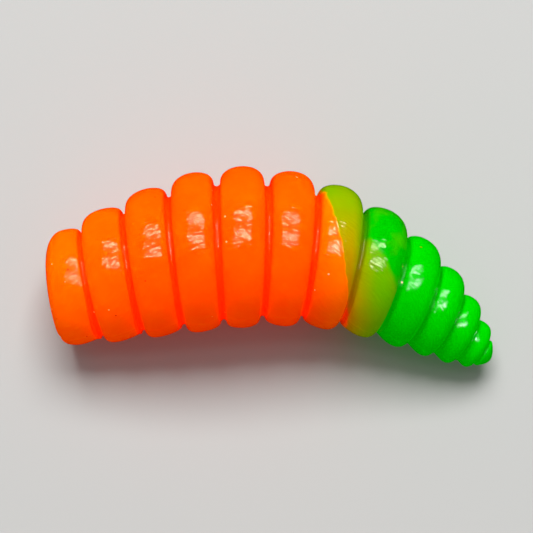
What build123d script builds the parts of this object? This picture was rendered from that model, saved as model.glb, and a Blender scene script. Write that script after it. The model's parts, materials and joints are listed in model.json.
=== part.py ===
"""Soft plastic larva bait: a fat ringed grub in two colour shots, lying curled on its side.

The moulding is divided where it bends. Thirteen ring segments are joined by twelve short necks,
which are the flexing webs at the bottom of the grooves. Millimetres. +X runs from the nose to the
tail, +Y is the outer side of the curl (the back), +Z is up, and the bait rests on Z = 0.

A station is a distance along the bait's axis, from 0 just ahead of the nose to BODY_LENGTH at the
tip of the tail.
"""
from build123d import *
import os
from math import asin, cos, pi, radians, sin, sqrt

# Driving dimensions
FULL_SEGMENT = 3.44                         # length of each of the eight front segments
FULL_SEGMENT_COUNT = 8
TAIL_SEGMENT_COUNT = 5
TAIL_SHORTENING = 0.48                      # each tail segment is this much shorter than the last
FATTEST_RADIUS = 6.3
FATTEST_STATION = 14.2
NOSE_STATION = 0.25                         # the nose is trimmed back this far
NOSE_FACE_RADIUS = 2.9                      # the flat face left where the gate was trimmed
NOSE_FACE_OFFSET = -0.5                     # that face's middle lies a little towards the belly

# Taper: how the ring radius falls off towards the nose and towards the tail
HEAD_LOSS, HEAD_POWER = 0.35, 1.5
TAIL_POWER, TAIL_ROUNDNESS = 1.6, 0.57

# Rings and grooves
NECK_SHARE_HEAD, NECK_SHARE_TAIL = 0.85, 0.77    # neck radius over ring radius, nose end and tail end
NECK_LENGTH_SHARE = 0.09                    # neck length over neck radius
CREST_POWER_HEAD, CREST_POWER_TAIL = 0.6, 1.0    # 1 is an elliptical crest, less is squarer
BACK_PROUD = 0.32                           # how far the fattest ring stands towards the back
HEAD_CREST_SHARE = 0.58                     # where along the head segment its crest lies

# Curl, in the plane of the table
HEADING_AT_NOSE, HEADING_TURN = 14.5, 54.5  # the axis turns this far from the nose to the tail
TURN_START, TURN_LENGTH = 6.0, 32.0
FACE_AT_NOSE, FACE_TURN, FACE_POWER = 12.0, 46.0, 1.6   # the groove planes turn later than the axis
NOSE_FACE_LEAN = 3.0                        # the trimmed face is this much squarer to X

# Belly line, in the upright plane
LIFT_OFF_STATION = 29.5                     # behind this the tail leaves the table in a straight line
PITCH_SHARE_RISING, PITCH_SHARE_FALLING = 0.4, 0.85     # how far the groove planes follow its slope

# Lofting
RING_SECTIONS = [0, 12, 30, 58, 90, 122, 150, 168, 180]   # degrees across a ring, groove to groove
TIP_SECTIONS = 7
AXIS_STEP = 0.1

TAIL_LENGTHS = [FULL_SEGMENT - TAIL_SHORTENING * number for number in range(1, TAIL_SEGMENT_COUNT + 1)]
SEGMENT_LENGTHS = [FULL_SEGMENT] * FULL_SEGMENT_COUNT + TAIL_LENGTHS
SEGMENT_COUNT = len(SEGMENT_LENGTHS)
BODY_LENGTH = sum(SEGMENT_LENGTHS)
NECK_COUNT = SEGMENT_COUNT - 1
PARTS_FOLDER = "parts"


def groove_station(number):
    """Station of the middle of groove 1 to NECK_COUNT, counted from the nose."""
    return sum(SEGMENT_LENGTHS[:number])


def ring_radius(station):
    """Radius of the envelope that touches every ring's crest."""
    if station < FATTEST_STATION:
        share = (FATTEST_STATION - station) / FATTEST_STATION
        return FATTEST_RADIUS * (1 - HEAD_LOSS * share**HEAD_POWER)
    share = (station - FATTEST_STATION) / (BODY_LENGTH - FATTEST_STATION)
    return FATTEST_RADIUS * max(0.0, 1 - share**TAIL_POWER) ** TAIL_ROUNDNESS


def neck_share(station):
    """Neck radius over ring radius, easing from the nose to the tail."""
    return NECK_SHARE_HEAD + (NECK_SHARE_TAIL - NECK_SHARE_HEAD) * station / BODY_LENGTH


def neck_radius(station):
    return ring_radius(station) * neck_share(station)


def neck_length(number):
    return NECK_LENGTH_SHARE * neck_radius(groove_station(number))


def crest_power(station):
    share = (station / BODY_LENGTH) ** 2
    return CREST_POWER_HEAD + (CREST_POWER_TAIL - CREST_POWER_HEAD) * share


def heading(station):
    """Direction of the axis on the table, in degrees from +X: a smooth turn from nose to tail."""
    share = min(1.0, max(0.0, (station - TURN_START) / TURN_LENGTH))
    return HEADING_AT_NOSE - HEADING_TURN * (3 * share**2 - 2 * share**3)


def face_angle(station):
    """Direction that a section across the bait faces on the table, in degrees from +X."""
    return FACE_AT_NOSE - FACE_TURN * (station / BODY_LENGTH) ** FACE_POWER


def axis_rise(station):
    """Slope of the axis: it follows the belly on the table, then runs out straight."""
    at = min(station, LIFT_OFF_STATION)
    return (ring_radius(at + AXIS_STEP) - ring_radius(at - AXIS_STEP)) / (2 * AXIS_STEP)


def axis_height(station):
    at = min(station, LIFT_OFF_STATION)
    return ring_radius(at) + axis_rise(station) * (station - at)


def axis_point(station):
    """A point on the axis, with the nose above the frame's Z axis. The plan is added up in short steps."""
    steps = max(1, round(station / AXIS_STEP))
    step = station / steps
    x = y = 0.0
    for number in range(steps):
        middle = (number + 0.5) * step
        run = step * sqrt(1 - axis_rise(middle) ** 2)
        x += run * cos(radians(heading(middle)))
        y += run * sin(radians(heading(middle)))
    return Vector(x, y, axis_height(station))


def section_plane(station, towards_back=0.0, lean=0.0):
    """Plane across the bait at a station: its normal points to the tail and its X axis to the back."""
    turn = radians(face_angle(station) - lean)
    slope = asin(axis_rise(station))
    pitch = slope * (PITCH_SHARE_RISING if slope > 0 else PITCH_SHARE_FALLING)
    back = Vector(-sin(turn), cos(turn), 0)
    normal = Vector(cos(turn) * cos(pitch), sin(turn) * cos(pitch), sin(pitch))
    return Plane(origin=axis_point(station) + back * towards_back, x_dir=back, z_dir=normal)


def back_offset(station):
    """How far a ring's crest is set towards the back."""
    return BACK_PROUD * ring_radius(station) / FATTEST_RADIUS


def section(station, swell, crest=None):
    """Disc across the bait. Swell runs from 0 at the bottom of a groove to 1 on the ring's crest."""
    low, high = neck_radius(station), ring_radius(crest or station)
    return section_plane(station, back_offset(station) * swell) * Circle(low + (high - low) * swell)


def nose_section(crest, swell):
    """Disc of the rounded front. Swell runs from 0 on the flat face to 1 on the first ring's crest."""
    station = crest - (crest - NOSE_STATION) * sqrt(1 - swell**2)
    radius = NOSE_FACE_RADIUS + (ring_radius(crest) - NOSE_FACE_RADIUS) * swell
    offset = NOSE_FACE_OFFSET + (back_offset(crest) - NOSE_FACE_OFFSET) * swell
    return section_plane(station, offset, NOSE_FACE_LEAN * (1 - swell)) * Circle(radius)


def segment_ends(number):
    """First and last station of segment 1 to SEGMENT_COUNT."""
    front = groove_station(number - 1) + (neck_length(number - 1) / 2 if number > 1 else 0.0)
    back = groove_station(number) - (neck_length(number) / 2 if number < SEGMENT_COUNT else 0.0)
    return front, back


def swell_at(angle, station):
    """A ring's profile: a rounded crest on steep flanks, by the angle across it."""
    return sin(radians(angle)) ** crest_power(station) if 0 < angle < 180 else 0.0


def ring_segment(number):
    """A ring between two grooves."""
    front, back = segment_ends(number)
    crest = (front + back) / 2
    discs = []
    for angle in RING_SECTIONS:
        station = crest - cos(radians(angle)) * (back - front) / 2
        discs.append(section(station, swell_at(angle, station), crest))
    return loft(discs)


def head_segment():
    """The first ring, whose front rounds over to the flat face where the gate was trimmed."""
    back = segment_ends(1)[1]
    crest = back * HEAD_CREST_SHARE
    discs = []
    for angle in RING_SECTIONS:
        if angle < 90:
            discs.append(nose_section(crest, sin(radians(angle))))
        else:
            station = crest - cos(radians(angle)) * (back - crest)
            discs.append(section(station, swell_at(angle, station), crest))
    return loft(discs)


def tail_tip():
    """The last segment swells out of its groove, and then closes in a blunt dome."""
    front = segment_ends(SEGMENT_COUNT)[0]
    rounding_share = 0.35
    discs = []
    for number in range(TIP_SECTIONS):
        along = 1 - (1 - number / TIP_SECTIONS) ** 2
        station = front + (BODY_LENGTH - front) * along
        swell = sin(min(along / rounding_share, 1.0) * pi / 2)
        discs.append(section(station, swell))
    return loft([*discs, Vertex(section_plane(BODY_LENGTH).origin)])


def neck(number):
    """The web at the bottom of a groove, face to face with the segments on both sides."""
    front, back = segment_ends(number)[1], segment_ends(number + 1)[0]
    return loft([section(station, 0.0) for station in (front, (front + back) / 2, back)])


def segment_name(number):
    if number == 1:
        return "segment_01_head"
    if number == SEGMENT_COUNT:
        return f"segment_{number:02d}_tail_tip"
    return f"segment_{number:02d}"


def neck_name(number):
    return f"neck_{number:02d}"


def build():
    """Every piece by name, standing on Z = 0 with the middle of its plan at the origin."""
    pieces = {segment_name(1): head_segment(), segment_name(SEGMENT_COUNT): tail_tip()}
    for number in range(2, SEGMENT_COUNT):
        pieces[segment_name(number)] = ring_segment(number)
    for number in range(1, NECK_COUNT + 1):
        pieces[neck_name(number)] = neck(number)
    boxes = [piece.bounding_box() for piece in pieces.values()]
    middle_x = (min(box.min.X for box in boxes) + max(box.max.X for box in boxes)) / 2
    middle_y = (min(box.min.Y for box in boxes) + max(box.max.Y for box in boxes)) / 2
    shift = Vector(-middle_x, -middle_y, -min(box.min.Z for box in boxes))
    return {name: Pos(shift) * piece for name, piece in pieces.items()}, shift


if __name__ == "__main__":
    os.makedirs(PARTS_FOLDER, exist_ok=True)
    built, moved_by = build()
    for name, piece in sorted(built.items()):
        export_step(piece, os.path.join(PARTS_FOLDER, f"{name}.step"))
    print(f"{len(built)} pieces, axis {BODY_LENGTH} mm long, moved by {moved_by}")
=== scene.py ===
# %% [markdown]
# # A ringed soft plastic grub in two colours
# A soft bait like this is one moulding. Molten plastic, soft when it sets, is shot into a two-part
# mould: orange from the nose, green from the tail, and the two meet and smear together part of the
# way along. The result is a fat grub of thirteen rings, with a groove between each pair where it
# bends. This lesson makes its rings and grooves as surfaces worked out with numpy, gives them a
# glossy, slightly see-through finish, and lights them with soft boxes.

# %% Load the engineering model
import json
import math

import bpy
import numpy as np
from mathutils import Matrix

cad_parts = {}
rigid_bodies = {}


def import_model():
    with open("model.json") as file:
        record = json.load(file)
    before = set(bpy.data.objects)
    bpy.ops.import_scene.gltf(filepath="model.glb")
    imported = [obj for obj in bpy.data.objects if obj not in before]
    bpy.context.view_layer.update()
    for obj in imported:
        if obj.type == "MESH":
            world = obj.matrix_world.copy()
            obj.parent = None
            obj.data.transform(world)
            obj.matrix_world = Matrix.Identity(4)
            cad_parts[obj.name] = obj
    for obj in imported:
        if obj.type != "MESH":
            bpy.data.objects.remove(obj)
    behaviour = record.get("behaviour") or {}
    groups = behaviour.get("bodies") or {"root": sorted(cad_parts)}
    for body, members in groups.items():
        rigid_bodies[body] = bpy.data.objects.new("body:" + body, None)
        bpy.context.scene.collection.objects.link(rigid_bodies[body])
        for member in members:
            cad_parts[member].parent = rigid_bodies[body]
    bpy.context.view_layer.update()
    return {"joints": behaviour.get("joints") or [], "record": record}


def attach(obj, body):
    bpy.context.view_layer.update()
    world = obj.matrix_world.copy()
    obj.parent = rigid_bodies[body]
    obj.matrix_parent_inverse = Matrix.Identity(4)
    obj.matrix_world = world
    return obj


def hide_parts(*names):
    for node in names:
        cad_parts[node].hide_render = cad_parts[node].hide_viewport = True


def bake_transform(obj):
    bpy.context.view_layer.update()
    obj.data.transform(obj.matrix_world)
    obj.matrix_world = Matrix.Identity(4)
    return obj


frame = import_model()
MM = 0.001

# %% [markdown]
# ## The bait's proportions
# Everything is told by a station: a distance along the bait's axis, from 0 just ahead of the nose.
# The first eight rings are equally long, and then each one is a little shorter than the last. The
# numbers are millimetres and degrees, the same as the engineering model's, so that each ring's
# surface sits exactly where its plain solid does.

# %% Proportions, in millimetres
FULL_SEGMENT, FULL_SEGMENT_COUNT = 3.44, 8
TAIL_SEGMENT_COUNT, TAIL_SHORTENING = 5, 0.48
FATTEST_RADIUS, FATTEST_STATION = 6.3, 14.2
NOSE_STATION, NOSE_FACE_RADIUS, NOSE_FACE_OFFSET = 0.25, 2.9, -0.5
HEAD_LOSS, HEAD_POWER = 0.35, 1.5
TAIL_POWER, TAIL_ROUNDNESS = 1.6, 0.57
NECK_SHARE_HEAD, NECK_SHARE_TAIL, NECK_LENGTH_SHARE = 0.85, 0.77, 0.09
CREST_POWER_HEAD, CREST_POWER_TAIL = 0.6, 1.0
BACK_PROUD, HEAD_CREST_SHARE = 0.32, 0.58
HEADING_AT_NOSE, HEADING_TURN, TURN_START, TURN_LENGTH = 14.5, 54.5, 6.0, 32.0
FACE_AT_NOSE, FACE_TURN, FACE_POWER, NOSE_FACE_LEAN = 12.0, 46.0, 1.6, 3.0
LIFT_OFF_STATION, PITCH_SHARE_RISING, PITCH_SHARE_FALLING = 29.5, 0.4, 0.85
AXIS_STEP = 0.1

segment_lengths = np.full(FULL_SEGMENT_COUNT + TAIL_SEGMENT_COUNT, FULL_SEGMENT)
segment_lengths[FULL_SEGMENT_COUNT:] -= TAIL_SHORTENING * np.arange(1, TAIL_SEGMENT_COUNT + 1)
SEGMENT_COUNT = len(segment_lengths)
NECK_COUNT = SEGMENT_COUNT - 1
BODY_LENGTH = segment_lengths.sum()
grooves = np.concatenate([[0.0], np.cumsum(segment_lengths)])
print("axis length", round(float(BODY_LENGTH), 2), "mm, grooves at", np.round(grooves[1:-1], 2))


# %% [markdown]
# ## The taper
# The rings grow to the fourth and fifth and then shrink to a point. Two short formulas carry that,
# one on each side of the fattest place, and each groove's floor is a share of the same radius.

# %% Radii along the bait
def ring_radius(station):
    """Radius over the crests: it falls off from the fattest place by a power of the way to the nose,
    and towards the tail like a blunt bullet."""
    station = np.asarray(station, float)
    ahead = np.clip((FATTEST_STATION - station) / FATTEST_STATION, 0, None)
    behind = np.clip((station - FATTEST_STATION) / (BODY_LENGTH - FATTEST_STATION), 0, 1)
    return FATTEST_RADIUS * (1 - HEAD_LOSS * ahead**HEAD_POWER) * (1 - behind**TAIL_POWER) ** TAIL_ROUNDNESS


def neck_radius(station):
    """Radius of the groove's floor: a share of the ring radius that eases from nose to tail."""
    share = NECK_SHARE_HEAD + (NECK_SHARE_TAIL - NECK_SHARE_HEAD) * np.asarray(station) / BODY_LENGTH
    return ring_radius(station) * share


def neck_length(number):
    return NECK_LENGTH_SHARE * neck_radius(grooves[number])


def segment_ends(number):
    """First and last station of a segment, leaving half of each neck's length to the neck."""
    front = grooves[number - 1] + (neck_length(number - 1) / 2 if number > 1 else 0.0)
    back = grooves[number] - (neck_length(number) / 2 if number < SEGMENT_COUNT else 0.0)
    return front, back


print("groove floors", np.round(neck_radius(grooves[1:-1]), 2), "mm")


# %% [markdown]
# ## The curl
# The bait lies on its side, so it curls in the plane of the table, while its belly line keeps the
# fat rings on the table and lets the thin tail ride a little above it. The axis is added up from
# its heading in short steps. A numpy cumulative sum does that for the whole bait at once.

# %% The axis and the planes across it
def axis_rise(station):
    """Slope of the axis, which follows the belly on the table and then runs out straight."""
    at = np.minimum(station, LIFT_OFF_STATION)
    return (ring_radius(at + AXIS_STEP) - ring_radius(at - AXIS_STEP)) / (2 * AXIS_STEP)


def heading(station):
    """Direction of the axis on the table: a smooth turn, in radians."""
    share = np.clip((station - TURN_START) / TURN_LENGTH, 0, 1)
    return np.radians(HEADING_AT_NOSE - HEADING_TURN * (3 * share**2 - 2 * share**3))


table_stations = np.linspace(0, BODY_LENGTH, 1501)
table_step = table_stations[1] - table_stations[0]
table_middles = table_stations[:-1] + table_step / 2
table_runs = table_step * np.sqrt(1 - axis_rise(table_middles) ** 2)
table_x = np.concatenate([[0], np.cumsum(table_runs * np.cos(heading(table_middles)))])
table_y = np.concatenate([[0], np.cumsum(table_runs * np.sin(heading(table_middles)))])


def bare_axis(station):
    """Points on the axis, with the nose end of it above the origin."""
    at = np.minimum(station, LIFT_OFF_STATION)
    z = ring_radius(at) + axis_rise(station) * (station - at)
    return np.stack([np.interp(station, table_stations, table_x),
                     np.interp(station, table_stations, table_y), z], -1)


joint_places = {joint["name"]: np.array(joint["pos_m"]) / MM for joint in frame["joints"]}
placing = joint_places["side_bend_06"] - bare_axis(grooves[6])


def axis_point(station):
    """Points on the axis in the model's own frame, placed so that the grooves meet their hinges."""
    return bare_axis(station) + placing


def across(station, lean=0.0):
    """The plane across the bait: unit vectors towards its back and its upper side."""
    share = np.asarray(station) / BODY_LENGTH
    turn = np.radians(FACE_AT_NOSE - FACE_TURN * share**FACE_POWER - lean)
    slope = np.arcsin(axis_rise(station))
    pitch = slope * np.where(slope > 0, PITCH_SHARE_RISING, PITCH_SHARE_FALLING)
    back = np.stack([-np.sin(turn), np.cos(turn), 0 * turn], -1)
    normal = np.stack([np.cos(turn) * np.cos(pitch), np.sin(turn) * np.cos(pitch), np.sin(pitch)], -1)
    return back, np.cross(normal, back)


worst = max(np.abs(axis_point(grooves[n]) - joint_places[f"side_bend_{n:02d}"]).max()
            for n in range(1, NECK_COUNT + 1))
print("grooves meet their hinges within", round(float(worst), 4), "mm")

# %% [markdown]
# ## Where the two colours meet
# The orange shot stops at a slanted weld that crosses the seventh ring. Beyond it the two plastics
# have smeared into yellow green, and the clean green starts at a second slanted line, across the
# eighth ring. Both lines are one wave around the bait, which is what a tilted cut through a
# cylinder unrolls to. They are kept on the mesh as attributes, so a colour can never slide.

# %% The weld and the smear
WELD_MIDDLE, WELD_BACK, WELD_TOP = 22.75, -1.85, -0.40
CLEAN_MIDDLE, CLEAN_BACK, CLEAN_FIRST, CLEAN_LAST = 25.9, -4.8, 24.15, 27.5
CLEAN_LEAD, CLEAN_EDGE = 0.45, 0.8
SMEAR_BACK, SMEAR_BELLY, SMEAR_START, SMEAR_RISE, SMEAR_LENGTH = 0.75, 0.15, 0.12, 0.72, 3.3
SMEAR_TURN_START, SMEAR_TURN = 30, 105


def smooth(share):
    share = np.clip(share, 0, 1)
    return share * share * (3 - 2 * share)


def past_weld(station, phi):
    """Distance behind the weld, in millimetres: below zero the plastic is pure orange."""
    return station - (WELD_MIDDLE + WELD_BACK * np.cos(phi) + WELD_TOP * np.sin(phi))


def greenness(station, phi):
    """0 where the smear looks orange and 1 where it is clean green. It is the greater of two
    gradients, one from belly to back and one that grows away from the weld as a sine does, and it
    turns clean over a short soft edge at the second line."""
    clean_line = np.clip(CLEAN_MIDDLE + CLEAN_BACK * np.cos(phi), CLEAN_FIRST, CLEAN_LAST)
    from_back = np.degrees(np.arccos(np.clip(np.cos(phi), -1, 1)))
    around = SMEAR_BACK + (SMEAR_BELLY - SMEAR_BACK) * smooth((from_back - SMEAR_TURN_START) / SMEAR_TURN)
    along = np.sin(np.clip(past_weld(station, phi) / SMEAR_LENGTH, 0, 1) * np.pi / 2)
    smear = np.maximum(around, SMEAR_START + SMEAR_RISE * along)
    clean = smooth((station - clean_line + CLEAN_LEAD) / CLEAN_EDGE)
    return smear + (1 - smear) * clean


print("weld from station", WELD_MIDDLE + WELD_BACK, "at the back to", WELD_MIDDLE - WELD_BACK, "at the belly")


# %% [markdown]
# ## What the mould leaves on the skin
# Two mould halves meet along the back and the belly and leave a hair-thin ridge of flash there. The
# bait has rolled a little on the table, so the ridge isn't quite level. The weld stands up as a
# faint lip. The rings are soft, so they aren't perfectly round either: a few slow waves of some
# hundredths of a millimetre bend the reflections. Each ring draws its waves from its own seed, so
# they are the same every time.

# %% Relief on the rings
FLASH_HEIGHT, FLASH_WIDTH, FLASH_ROLL = 0.055, 0.075, math.radians(15)
WELD_LIP_HEIGHT, WELD_LIP_WIDTH = 0.07, 0.12
WELD_LIP_FADE_IN, WELD_LIP_FADE_OUT = 0.5, 0.4
WAVE_HEIGHT, WAVE_COUNTS = 0.018, range(2, 6)
THINNEST_RADIUS, FULL_RELIEF_RADIUS = 0.3, 3
GATE_STATION, GATE_ANGLE, GATE_SIZE, GATE_DEPTH = 0.55, math.radians(171), 0.42, 0.24


def relief(station, phi, number):
    """How far the skin stands off the plain ring: flash, weld lip and slow waves added up."""
    radius = np.maximum(ring_radius(station), THINNEST_RADIUS)
    flash = FLASH_HEIGHT * np.exp(-((radius * np.sin(phi + FLASH_ROLL) / FLASH_WIDTH) ** 2))
    lip = WELD_LIP_HEIGHT * np.exp(-((past_weld(station, phi) / WELD_LIP_WIDTH) ** 2))
    lip = lip * smooth((station - grooves[6]) / WELD_LIP_FADE_IN)
    lip = lip * smooth((grooves[7] - station) / WELD_LIP_FADE_OUT)
    phases = np.random.default_rng(number).uniform(0, 2 * np.pi, 6)
    waves = sum(np.sin(k * phi + phases[k] + (k - 3) * station) / k for k in WAVE_COUNTS)
    seams = (flash + lip) * np.minimum(1, radius / FULL_RELIEF_RADIUS)
    return seams + WAVE_HEIGHT * waves * radius / FATTEST_RADIUS


# %% [markdown]
# ## From a grid of points to a closed mesh
# Each piece is a tube of rows: a row is one loop around the bait. Quads join neighbouring rows, the
# last column joins the first, and a fan of triangles closes each end, so the piece is a solid with
# its faces pointing outwards. The index arrays are worked out in one go, which is far quicker than
# a loop over thousands of corners. Four attributes are stored with each point: where it lies on
# the mould (for tool marks), its distance past the weld, how green its smear is, and how deep in a
# groove it lies, from 0 on a crest to 1 on a groove's floor.

# %% Grid to mesh
AROUND = 400
CREASE_ANGLE = math.radians(50)
ring_phi = np.linspace(0, 2 * np.pi, AROUND, endpoint=False)[None, :]


def closed_tube(name, rows, stations, depths):
    """A closed solid from rows of points (rows, around, 3), given in millimetres, with a station
    and a groove depth for each row."""
    count, around = rows.shape[:2]
    corners = np.concatenate([rows.reshape(-1, 3), rows[[0, -1]].mean(axis=1)])
    row, column = np.meshgrid(np.arange(count - 1), np.arange(around), indexing="ij")
    following = (column + 1) % around
    quads = np.stack([row * around + column, row * around + following,
                      (row + 1) * around + following, (row + 1) * around + column], -1).reshape(-1, 4)
    loop, next_loop = np.arange(around), (np.arange(around) + 1) % around
    first_pole, last_pole = count * around, count * around + 1
    last_row = (count - 1) * around
    front = np.stack([np.full(around, first_pole), next_loop, loop], -1)
    rear = np.stack([np.full(around, last_pole), last_row + loop, last_row + next_loop], -1)
    mesh = bpy.data.meshes.new(name)
    mesh.from_pydata((corners * MM).tolist(), [], quads.tolist() + front.tolist() + rear.tolist())
    mesh.polygons.foreach_set("use_smooth", np.ones(len(mesh.polygons), bool))
    every_station = np.concatenate([np.repeat(stations, around), stations[[0, -1]]])
    every_depth = np.concatenate([np.repeat(depths, around), depths[[0, -1]]])
    every_phi = np.concatenate([np.tile(ring_phi[0], count), [0.0, 0.0]])
    arc = ring_radius(every_station) * np.arccos(np.clip(np.cos(every_phi), -1, 1))
    mould = np.stack([every_station, arc, np.sign(np.sin(every_phi))], -1)
    places = mesh.attributes.new("mould_place", "FLOAT_VECTOR", "POINT")
    places.data.foreach_set("vector", mould.ravel())
    # The groove depth is also the mask for the shade that is painted into the grooves.
    for attribute_name, values in (("past_weld", past_weld(every_station, every_phi)),
                                   ("greenness", greenness(every_station, every_phi)),
                                   ("groove_depth", every_depth)):
        mesh.attributes.new(attribute_name, "FLOAT", "POINT").data.foreach_set("value", values)
    mesh.set_sharp_from_angle(angle=CREASE_ANGLE)
    piece = bpy.data.objects.new(name, mesh)
    bpy.context.scene.collection.objects.link(piece)
    return piece


# %% [markdown]
# ## A ring
# Seen from the side, a ring is a fat D: steep flanks and a broad round crest. Going across it by an
# angle from 0 to 180 degrees, its height over the groove floor is the sine of that angle to a power,
# and the power sets how square the D is. Crowding the rows near the flanks keeps the creases crisp.

# %% Ring surfaces
CROWDING = 0.13
SMEARED_RINGS, SMEARED_ROWS, PLAIN_ROWS = (7, 8), 110, 64


def crowded(count):
    """Angles from 0 to pi, close together at both ends."""
    share = np.linspace(0, 1, count)
    return np.pi * (share - CROWDING * np.sin(2 * np.pi * share))


def crest_power(station):
    share = (station / BODY_LENGTH) ** 2
    return CREST_POWER_HEAD + (CREST_POWER_TAIL - CREST_POWER_HEAD) * share


def back_offset(station):
    return BACK_PROUD * ring_radius(station) / FATTEST_RADIUS


def discs(stations, radii, offsets, number, lean=0.0, relief_share=1.0):
    """Loops around the bait, one for each station, with the skin's relief added to their radii."""
    back, up = across(stations, lean)
    centres = axis_point(stations) + back * offsets[:, None]
    shares = np.reshape(relief_share, (-1, 1))
    grown = radii[:, None] + relief(stations[:, None], ring_phi, number) * shares
    outward = (np.cos(ring_phi)[..., None] * back[:, None, :]
               + np.sin(ring_phi)[..., None] * up[:, None, :])
    return centres[:, None, :] + grown[..., None] * outward


def ring_profile(front, back, crest, angles):
    """Stations, radii, offsets and swells of a ring's rows from groove to groove."""
    stations = crest - np.cos(angles) * np.where(angles < np.pi / 2, crest - front, back - crest)
    swell = np.clip(np.sin(angles), 0, 1) ** crest_power(stations)
    low = neck_radius(stations)
    return stations, low + (ring_radius(crest) - low) * swell, back_offset(stations) * swell, swell


def middle_ring(number, rows):
    """A ring between two grooves."""
    front, back = segment_ends(number)
    stations, radii, offsets, swell = ring_profile(front, back, (front + back) / 2, crowded(rows))
    points = discs(stations, radii, offsets, number, relief_share=swell)
    return closed_tube(f"ring_{number:02d}", points, stations, 1 - swell)


for number in range(2, SEGMENT_COUNT):
    ring = middle_ring(number, SMEARED_ROWS if number in SMEARED_RINGS else PLAIN_ROWS)
    print(ring.name, len(ring.data.polygons), "faces")


# %% [markdown]
# ## The head
# The nose is where the mould's gate was: a nearly flat face, trimmed with a blade, that rounds over
# into the first ring. On the belly side the blade left a small nick.

# %% The head ring
FACE_ROWS, ROUNDING_ROWS, GATE_ROW = 16, 40, 8
FACE_INNER, FACE_OUTER = 0.06, 0.97


def head_ring():
    """The flat face's rows grow from its middle, the rounding is a quarter ellipse, and the rest is
    an ordinary ring. A round dent at the edge of the face is the nick."""
    back = segment_ends(1)[1]
    crest = back * HEAD_CREST_SHARE
    turn = np.linspace(0, np.pi / 2, ROUNDING_ROWS)[:-1]
    nose_swell = np.sin(turn)
    nose_stations = crest - (crest - NOSE_STATION) * np.cos(turn)
    nose_radii = NOSE_FACE_RADIUS + (ring_radius(crest) - NOSE_FACE_RADIUS) * nose_swell
    nose_offsets = NOSE_FACE_OFFSET + (back_offset(crest) - NOSE_FACE_OFFSET) * nose_swell
    face_share = np.linspace(FACE_INNER, FACE_OUTER, FACE_ROWS)
    rear_angles = crowded(PLAIN_ROWS)
    rear = ring_profile(0.0, back, crest, rear_angles[rear_angles >= np.pi / 2])
    stations = np.concatenate([np.full(FACE_ROWS, NOSE_STATION), nose_stations, rear[0]])
    radii = np.concatenate([NOSE_FACE_RADIUS * face_share, nose_radii, rear[1]])
    offsets = np.concatenate([np.full(FACE_ROWS, NOSE_FACE_OFFSET), nose_offsets, rear[2]])
    nose_lean = NOSE_FACE_LEAN * (1 - nose_swell)
    lean = np.concatenate([np.full(FACE_ROWS, NOSE_FACE_LEAN), nose_lean, 0 * rear[0]])
    share = np.concatenate([0 * face_share, nose_swell, rear[3]])
    points = discs(stations, radii, offsets, 1, lean, share)
    outward = points - axis_point(crest)
    outward /= np.linalg.norm(outward, axis=-1, keepdims=True)
    rim = points[FACE_ROWS + GATE_ROW, int(AROUND * GATE_ANGLE / (2 * np.pi))]
    away = np.linalg.norm(points - rim, axis=-1)
    points = points - outward * (GATE_DEPTH * np.exp(-((away / GATE_SIZE) ** 2)))[..., None]
    depths = np.concatenate([0 * face_share, 0 * nose_swell, 1 - rear[3]])
    return closed_tube("ring_01_head", points, stations, depths)


head = head_ring()
print(head.name, len(head.data.polygons), "faces")


# %% [markdown]
# ## The tail tip
# The last segment swells out of its groove and closes in a blunt dome.

# %% The tail tip
TIP_ROWS, TIP_REACH, TIP_ROUNDING = 40, 0.985, 0.35


def tail_tip(rows):
    """Rows crowd towards the tip, where the envelope radius closes to nothing."""
    front = segment_ends(SEGMENT_COUNT)[0]
    along = 1 - (1 - np.linspace(0, TIP_REACH, rows)) ** 2
    stations = front + (BODY_LENGTH - front) * along
    swell = np.sin(np.clip(along / TIP_ROUNDING, 0, 1) * np.pi / 2)
    low, high = neck_radius(stations), ring_radius(stations)
    points = discs(stations, low + (high - low) * swell, back_offset(stations) * swell, SEGMENT_COUNT,
                   relief_share=swell * (1 - along))
    return closed_tube(f"ring_{SEGMENT_COUNT:02d}_tail_tip", points, stations, 1 - swell)


tip = tail_tip(TIP_ROWS)
print(tip.name, len(tip.data.polygons), "faces")


# %% [markdown]
# ## The grooves
# A groove's floor is where the bait bends. It is made as two short sleeves that meet in the middle:
# one runs from inside the ring in front to the middle of the groove, and the other from there to
# inside the ring behind. Each reaches a little way into its ring, so no gap opens when the ring
# turns, and it widens towards the ring as a small fillet.

# %% Neck sleeves
SLEEVE_ROWS = 14
STUB, FULL_STUB_RADIUS = 0.3, 3
FILLET, FILLET_RADIUS, FILLET_REACH, FILLET_POWER = 0.16, 5, 1.3, 2.2
SLEEVE_PROUD, SLEEVE_RELIEF, SLEEVE_SEED = 0.004, 0.6, 40


def neck_sleeve(number, side):
    """Half a neck: side 0 runs from inside the ring in front, and side 1 to inside the ring behind."""
    middle, half = grooves[number], neck_length(number) / 2
    stub = STUB * min(1.0, neck_radius(middle) / FULL_STUB_RADIUS)
    first, last = (middle - half - stub, middle) if side == 0 else (middle, middle + half + stub)
    stations = np.linspace(first, last, SLEEVE_ROWS)
    inside = np.clip((np.abs(stations - middle) - half) / stub, 0, 1)
    flare = np.clip(np.abs(stations - middle) / half, 0, FILLET_REACH) ** FILLET_POWER
    fillet = FILLET * neck_radius(middle) / FILLET_RADIUS * flare
    radii = neck_radius(stations) + fillet + SLEEVE_PROUD
    points = discs(stations, radii, 0 * stations, SLEEVE_SEED + number,
                   relief_share=SLEEVE_RELIEF * (1 - inside))
    return closed_tube(f"groove_{number:02d}_{'front' if side == 0 else 'rear'}", points,
                       stations, np.ones(len(stations)))


sleeves = [[neck_sleeve(number, side) for side in (0, 1)] for number in range(1, NECK_COUNT + 1)]
print(len(sleeves), "grooves, two sleeves each")
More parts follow.
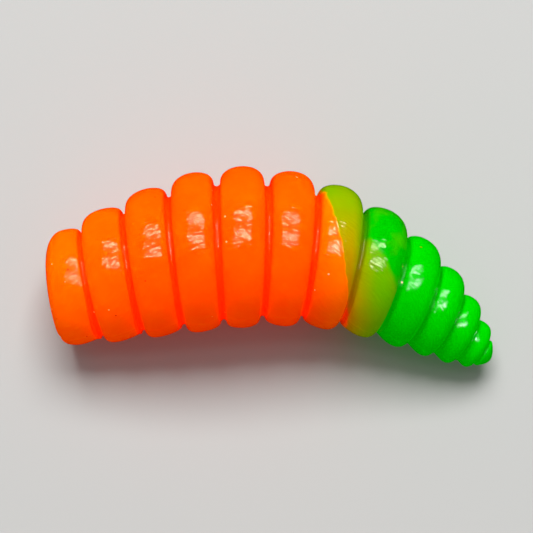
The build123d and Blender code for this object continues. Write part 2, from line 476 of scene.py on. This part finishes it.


# %% [markdown]
# ## Soft glossy plastic
# The plastic is like stiff jelly, strongly dyed: light goes a millimetre or so in and comes back
# redder or greener, which a subsurface share in the Principled shader does. The dye is fluorescent,
# and a small, even emission keeps the bait bright even in shade: that is painted light, a glow that
# no lamp gives. The dye is fluorescent: it turns light that can't be seen into its own colour, so
# the bait stays bright even in shade. Letting light travel further inside the plastic is the other
# way, and it was tried, but it made the shaded parts darker. First come a few short helpers, so that
# each finish below reads as a list of what it is made of.

# %% Node helpers
def add_node(tree, kind, **settings):
    node = tree.nodes.new(kind)
    for key, value in settings.items():
        setattr(node, key, value)
    return node


def set_inputs(node, **values):
    for key, value in values.items():
        node.inputs[key.replace("_", " ")].default_value = value
    return node


def blend_colours(tree, factor, first, second, blend_type="MIX"):
    """A Mix node for colours: first and second are colours or sockets."""
    node = add_node(tree, "ShaderNodeMix", data_type="RGBA", blend_type=blend_type)
    tree.links.new(factor, node.inputs["Factor"])
    for socket, value in ((node.inputs[6], first), (node.inputs[7], second)):
        if isinstance(value, bpy.types.NodeSocket):
            tree.links.new(value, socket)
        else:
            socket.default_value = (*value, 1.0)
    return node.outputs[2]


def ramp(tree, source, stops):
    """A colour ramp with stops of (position, colour)."""
    node = add_node(tree, "ShaderNodeValToRGB")
    elements = node.color_ramp.elements
    while len(elements) < len(stops):
        elements.new(0.5)
    for element, (position, colour) in zip(elements, stops):
        element.position = position
        element.color = (*colour, 1.0)
    tree.links.new(source, node.inputs["Fac"])
    return node.outputs["Color"]


def stretch(tree, source, low, high, to_low=0.0, to_high=1.0):
    """A Map Range node: values from low to high become values from to_low to to_high."""
    node = add_node(tree, "ShaderNodeMapRange")
    for key, value in (("From Min", low), ("From Max", high), ("To Min", to_low), ("To Max", to_high)):
        node.inputs[key].default_value = value
    tree.links.new(source, node.inputs["Value"])
    return node.outputs["Result"]


def noise(tree, vector, scale, detail=2.0, roughness=0.5):
    node = add_node(tree, "ShaderNodeTexNoise")
    set_inputs(node, Scale=scale, Detail=detail, Roughness=roughness)
    tree.links.new(vector, node.inputs["Vector"])
    return node.outputs["Fac"]


def arithmetic(tree, operation, first, second):
    """A Math node on two sockets."""
    node = add_node(tree, "ShaderNodeMath", operation=operation)
    tree.links.new(first, node.inputs[0])
    tree.links.new(second, node.inputs[1])
    return node.outputs[0]


def bump(tree, height, strength, distance):
    node = add_node(tree, "ShaderNodeBump")
    set_inputs(node, Strength=strength, Distance=distance)
    tree.links.new(height, node.inputs["Height"])
    return node


def scaled(tree, vector, factors):
    node = add_node(tree, "ShaderNodeVectorMath", operation="MULTIPLY")
    tree.links.new(vector, node.inputs[0])
    node.inputs[1].default_value = factors
    return node.outputs[0]


def attribute(tree, name, output):
    return add_node(tree, "ShaderNodeAttribute", attribute_name=name).outputs[output]


# %% [markdown]
# ### The dyes
# Orange and green dye mixed by hand give olive and mustard, not a bright yellow, so the smear goes
# through those colours on its own ramp. Deep in a groove the colour is multiplied by a darker one:
# that is painted shade, standing in for the darker, deeper colour that light bounced about in a groove takes
# on.

# %% Dyes
# The last colour on each of the next three lines is painted shade, multiplied into the grooves. The orange
# glow colour under them is painted light, the colour of an even emission.
ORANGE, ORANGE_PALE, ORANGE_PAINTED_SHADE = (0.98, 0.092, 0.0), (0.98, 0.112, 0.0), (0.95, 0.30, 1.0)
GREEN, GREEN_PALE, GREEN_PAINTED_SHADE = (0.0, 0.37, 0.0), (0.0, 0.41, 0.0), (1.0, 0.65, 1.0)
SMEAR_PAINTED_SHADE = (0.80, 0.45, 1.0)
ORANGE_PAINTED_GLOW = (1.0, 0.02, 0.0)
SMEAR = [(0.0, (0.72, 0.15, 0.0)), (0.12, (0.54, 0.17, 0.0)), (0.25, (0.42, 0.20, 0.0)),
         (0.38, (0.37, 0.25, 0.0)), (0.50, (0.31, 0.28, 0.0)), (0.62, (0.24, 0.29, 0.0)),
         (0.75, (0.17, 0.32, 0.0)), (0.87, (0.10, 0.35, 0.0)), (1.0, GREEN)]
AMBER = (0.98, 0.20, 0.0)
DUST, GRIT = (0.95, 0.50, 0.22), (0.30, 0.02, 0.0)
print("smear ramp:", len(SMEAR), "stops")

# %% [markdown]
# ### Colour across the weld
# The orange lightens to amber as it nears the weld, and the smear's ramp takes over behind it. The
# line itself wanders by a tenth of a millimetre, which a little noise added to the distance does.

# %% The weld in colour
NOISE_LOW, NOISE_HIGH = 0.3, 0.7
WANDER, WANDER_SCALE = 0.10, 900.0
SWIRL, SWIRL_SCALE = 0.035, 520.0
AMBER_REACH, AMBER_SHARE, WELD_EDGE = 3.0, 0.75, 0.1


def weld_colours(tree, place, colour, painted_glow_colour):
    """The skin's colour and the colour of an even emission, painted light, both changing over at the weld."""
    wander = stretch(tree, noise(tree, place, WANDER_SCALE, 3.0), NOISE_LOW, NOISE_HIGH, -WANDER, WANDER)
    weld = arithmetic(tree, "ADD", attribute(tree, "past_weld", "Fac"), wander)
    swirl = stretch(tree, noise(tree, place, SWIRL_SCALE, 4.0), NOISE_LOW, NOISE_HIGH, -SWIRL, SWIRL)
    mixture = arithmetic(tree, "ADD", attribute(tree, "greenness", "Fac"), swirl)
    mixed = ramp(tree, mixture, SMEAR)
    near = stretch(tree, weld, -AMBER_REACH, -WELD_EDGE, 0.0, AMBER_SHARE)
    colour = blend_colours(tree, near, colour, AMBER)
    behind = stretch(tree, weld, -WELD_EDGE, WELD_EDGE)
    return blend_colours(tree, behind, colour, mixed), blend_colours(tree, behind, painted_glow_colour, mixed)


# %% [markdown]
# ### Dust and grit
# A sticky bait picks up specks. A cell pattern gives each cell a centre and a random colour: a small
# spot is drawn at the centre, but only in the few cells whose red or green is high enough.

# %% Specks
SPECK_SCALE, SPECK_RIM, SPECK_CORE = 900.0, 0.080, 0.055
DUST_RARITY, GRIT_RARITY, RARITY_EDGE = 0.78, 0.80, 0.01


def speckled(tree, place, colour):
    """The colour with pale dust and dark grit on it."""
    cells = add_node(tree, "ShaderNodeTexVoronoi")
    set_inputs(cells, Scale=SPECK_SCALE, Randomness=1.0)
    tree.links.new(place, cells.inputs["Vector"])
    spot = stretch(tree, cells.outputs["Distance"], SPECK_RIM, SPECK_CORE)
    channels = add_node(tree, "ShaderNodeSeparateColor")
    tree.links.new(cells.outputs["Color"], channels.inputs[0])
    for channel, rarity, speck in (("Red", DUST_RARITY, DUST), ("Green", GRIT_RARITY, GRIT)):
        wanted = stretch(tree, channels.outputs[channel], rarity, rarity + RARITY_EDGE)
        colour = blend_colours(tree, arithmetic(tree, "MULTIPLY", spot, wanted), colour, speck)
    return colour


# %% [markdown]
# ### Tool marks
# The skin is glossy, but the mould was cut with a tool that left very fine marks along the bait, and
# they break every reflection into short streaks. A noise pattern that is stretched along the bait,
# read from the mould place stored on the mesh, makes them, and it goes round each ring as the cutter
# did. Finer pores lie under them.

# %% Marks in the gloss
MARKS_PER_MM, MARK_DEPTH = (1.7, 4.0, 1.0), 0.000040
PORE_SCALE, PORE_STRENGTH, PORE_DEPTH = 5200.0, 0.2, 0.000005


def marked_normal(tree, place, mould):
    """The skin's normal, bent by pores and then by the tool marks."""
    marks = bump(tree, noise(tree, scaled(tree, mould, MARKS_PER_MM), 1.0, 1.0, 0.5), 1.0, MARK_DEPTH)
    pores = bump(tree, noise(tree, place, PORE_SCALE, 2.0), PORE_STRENGTH, PORE_DEPTH)
    tree.links.new(pores.outputs["Normal"], marks.inputs["Normal"])
    return marks.outputs["Normal"]


# %% [markdown]
# ### The finish
# One function makes the three finishes, because it is one plastic in different dyes. The gloss is
# tinted a little towards the dye, so that the highlights don't look chalky, and the nose end pales
# towards amber.

# %% The three finishes
CLOUD_SCALE, CLOUD_LOW, CLOUD_HIGH = 420.0, 0.40, 0.75
# Painted shade: how deep in a groove it starts, and how much of it there is at the groove's floor.
PAINTED_SHADE_START, PAINTED_SHADE_SHARE = 0.45, 0.85
NOSE_AMBER = 0.5
SMOOTHEST, ROUGHEST = 0.05, 0.08
SKIN_IOR, SKIN_SPECULAR, REACH_SCALE = 1.46, 0.35, 0.001


def plastisol(name, smeared, dye, pale_dye, painted_shade, painted_glow_colour, painted_glow, reach, shine, pale_reach=0.0):
    """The finish of the whole bait. The colour after the dyes is multiplied in as painted shading in
    the grooves, and the next two give the colour and strength of an even emission, painted light that
    keeps the shadowed side bright. reach is how far red, green and blue light go into it, and shine
    tints the gloss. The colour is amber at the nose over pale_reach millimetres, and smeared pieces
    also carry the weld and the smear."""
    material = bpy.data.materials.new(name)
    material.use_nodes = True
    tree = material.node_tree
    skin = tree.nodes["Principled BSDF"]
    place = add_node(tree, "ShaderNodeTexCoord").outputs["Object"]
    mould = attribute(tree, "mould_place", "Vector")
    cloud = noise(tree, place, CLOUD_SCALE, 3.0)
    colour = blend_colours(tree, stretch(tree, cloud, CLOUD_LOW, CLOUD_HIGH), dye, pale_dye)
    if pale_reach:
        parts = add_node(tree, "ShaderNodeSeparateXYZ")
        tree.links.new(mould, parts.inputs[0])
        nose = stretch(tree, parts.outputs["X"], 0.0, pale_reach, NOSE_AMBER, 0.0)
        colour = blend_colours(tree, nose, colour, AMBER)
    # The emission colour is painted light: an even glow in the dye's colour that no lamp gives.
    if smeared:
        colour, smeared_painted_glow_colour = weld_colours(tree, place, colour, painted_glow_colour)
        tree.links.new(smeared_painted_glow_colour, skin.inputs["Emission Color"])
    else:
        skin.inputs["Emission Color"].default_value = (*painted_glow_colour, 1.0)
    # Painted shade: deep in the grooves the colour is multiplied by a darker one.
    painted_shade_mask = stretch(tree, attribute(tree, "groove_depth", "Fac"), PAINTED_SHADE_START, 1.0, 0.0, PAINTED_SHADE_SHARE)
    colour = blend_colours(tree, painted_shade_mask, colour, painted_shade, "MULTIPLY")
    tree.links.new(speckled(tree, place, colour), skin.inputs["Base Color"])
    tree.links.new(marked_normal(tree, place, mould), skin.inputs["Normal"])
    roughness = stretch(tree, cloud, 0.3, 0.8, SMOOTHEST, ROUGHEST)
    tree.links.new(roughness, skin.inputs["Roughness"])
    # The emission strength is painted light that keeps the shadowed side bright.
    set_inputs(skin, IOR=SKIN_IOR, Specular_IOR_Level=SKIN_SPECULAR, Subsurface_Weight=1.0,
               Subsurface_Scale=REACH_SCALE, Emission_Strength=painted_glow)
    skin.inputs["Subsurface Radius"].default_value = reach
    skin.inputs["Specular Tint"].default_value = (*shine, 1.0)
    return material


# Each finish glows with painted light, an even emission of strength 0.36, 0.24 or 0.49. The green one glows
# in its own dye colour.
orange = plastisol("orange_plastisol", False, ORANGE, ORANGE_PALE, ORANGE_PAINTED_SHADE, ORANGE_PAINTED_GLOW, 0.36,
                   reach=(1.2, 0.4, 0.1), shine=(1.0, 0.85, 0.55), pale_reach=7.5)
smear = plastisol("smeared_plastisol", True, ORANGE, ORANGE_PALE, SMEAR_PAINTED_SHADE, ORANGE_PAINTED_GLOW, 0.24,
                  reach=(1.2, 0.8, 0.1), shine=(1.0, 0.92, 0.65))
green = plastisol("green_plastisol", False, GREEN, GREEN_PALE, GREEN_PAINTED_SHADE, GREEN, 0.49,
                  reach=(0.3, 1.2, 0.3), shine=(1.0, 1.0, 1.0))
print("finishes:", [material.name for material in (orange, smear, green)])

# %% [markdown]
# ## Putting it together
# Each ring rides on its own body and stands for its plain solid, and each pair of sleeves takes its
# groove's finish and stands for the groove's plain solid.

# %% Ride and dress
record_slots = {entry["node"]: entry["material_slot"] for entry in frame["record"]["subparts"]}
finishes = {"orange_plastisol": orange, "blend_plastisol": smear, "green_plastisol": green}


def segment_name(number):
    ending = {1: "_head", SEGMENT_COUNT: "_tail_tip"}.get(number, "")
    return f"segment_{number:02d}{ending}"


def dress(piece, node):
    piece.data.materials.append(finishes[record_slots[node]])
    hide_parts(node)


for number in range(1, SEGMENT_COUNT + 1):
    node = segment_name(number)
    piece = bpy.data.objects[node.replace("segment", "ring")]
    dress(piece, node)
    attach(piece, node)

for number, (front_sleeve, rear_sleeve) in enumerate(sleeves, start=1):
    neck, half = f"neck_{number:02d}", neck_length(number) / 2
    for sleeve in (front_sleeve, rear_sleeve):
        dress(sleeve, neck)
    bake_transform(front_sleeve)
    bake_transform(rear_sleeve)
print("pieces:", SEGMENT_COUNT + 2 * NECK_COUNT)

# %% [markdown]
# ## A table, lights and a camera
# A glossy thing of one strong colour goes milky when a pale table mirrors in it, so the table and the
# sky are left out of its reflections. A broad key light from above and behind gives the shading, and
# two long soft boxes that only reflections see draw the two highlights along every ring.

# %% Stage
TABLE_SIZE = 1.2
PALE_GREY, SKY_STRENGTH = (0.40, 0.40, 0.39, 1), 0.30
floor_mesh = bpy.data.meshes.new("table")
edge = TABLE_SIZE / 2
table_corners = [(-edge, -edge, 0), (edge, -edge, 0), (edge, edge, 0), (-edge, edge, 0)]
floor_mesh.from_pydata(table_corners, [], [(0, 1, 2, 3)])
floor = bpy.data.objects.new("table", floor_mesh)
bpy.context.scene.collection.objects.link(floor)
paper = bpy.data.materials.new("pale_table")
paper.use_nodes = True
set_inputs(paper.node_tree.nodes["Principled BSDF"], Base_Color=PALE_GREY, Roughness=0.8)
floor_mesh.materials.append(paper)
floor.visible_glossy = False

world = bpy.data.worlds.new("studio")
world.use_nodes = True
set_inputs(world.node_tree.nodes["Background"], Color=(1, 1, 1, 1), Strength=SKY_STRENGTH)
world.cycles_visibility.glossy = False
bpy.context.scene.world = world
print("table", TABLE_SIZE, "m across")

# %% [markdown]
# ### The soft boxes
# Each box leans back from straight above the bait. The key light shades the bait but isn't seen in
# its gloss, and the strips are seen in its gloss but don't shade it, so both can be set alone.

# %% Soft boxes
aim = np.array([0.0, 0.0, 0.005])


def soft_box(name, lean, distance, width, depth, watts, shades=True, reflects=True):
    """A rectangular light that leans from straight above towards the back, in degrees."""
    light = bpy.data.lights.new(name, "AREA")
    light.shape, light.size, light.size_y, light.energy = "RECTANGLE", width, depth, watts
    box = bpy.data.objects.new(name, light)
    lean = math.radians(lean)
    box.location = aim + distance * np.array([0, math.sin(lean), math.cos(lean)])
    box.rotation_euler = (-lean, 0, 0)
    box.visible_diffuse, box.visible_glossy = shades, reflects
    bpy.context.scene.collection.objects.link(box)
    print(name, watts, "W")


soft_box("key_box", 28, 0.60, 0.40, 0.30, 5.7, reflects=False)
soft_box("overhead_strip", 4, 0.60, 0.50, 0.075, 3.4, shades=False)
soft_box("back_strip", 35, 0.60, 0.50, 0.065, 3.0, shades=False)
soft_box("between_glow", 18, 0.66, 0.55, 0.45, 0.2, shades=False)

# %% [markdown]
# ## The camera
# It looks steeply down from in front, with a long lens so that the rings keep their true
# proportions.

# %% Camera
CAMERA_ELEVATION, CAMERA_DISTANCE = math.radians(78), 0.156
LENS, SENSOR = 135, 36
view_aim = np.array([-0.00035, 0.0, 0.005])
camera_data = bpy.data.cameras.new("camera")
camera_data.lens, camera_data.sensor_width = LENS, SENSOR
camera_data.clip_start, camera_data.clip_end = 0.01, 10
camera = bpy.data.objects.new("camera", camera_data)
towards_camera = np.array([0, -math.cos(CAMERA_ELEVATION), math.sin(CAMERA_ELEVATION)])
camera.location = view_aim + CAMERA_DISTANCE * towards_camera
camera.rotation_euler = (math.pi / 2 - CAMERA_ELEVATION, 0, 0)
bpy.context.scene.collection.objects.link(camera)
bpy.context.scene.camera = camera
bpy.context.scene.view_settings.view_transform = "Standard"
print("camera", CAMERA_DISTANCE, "m away")
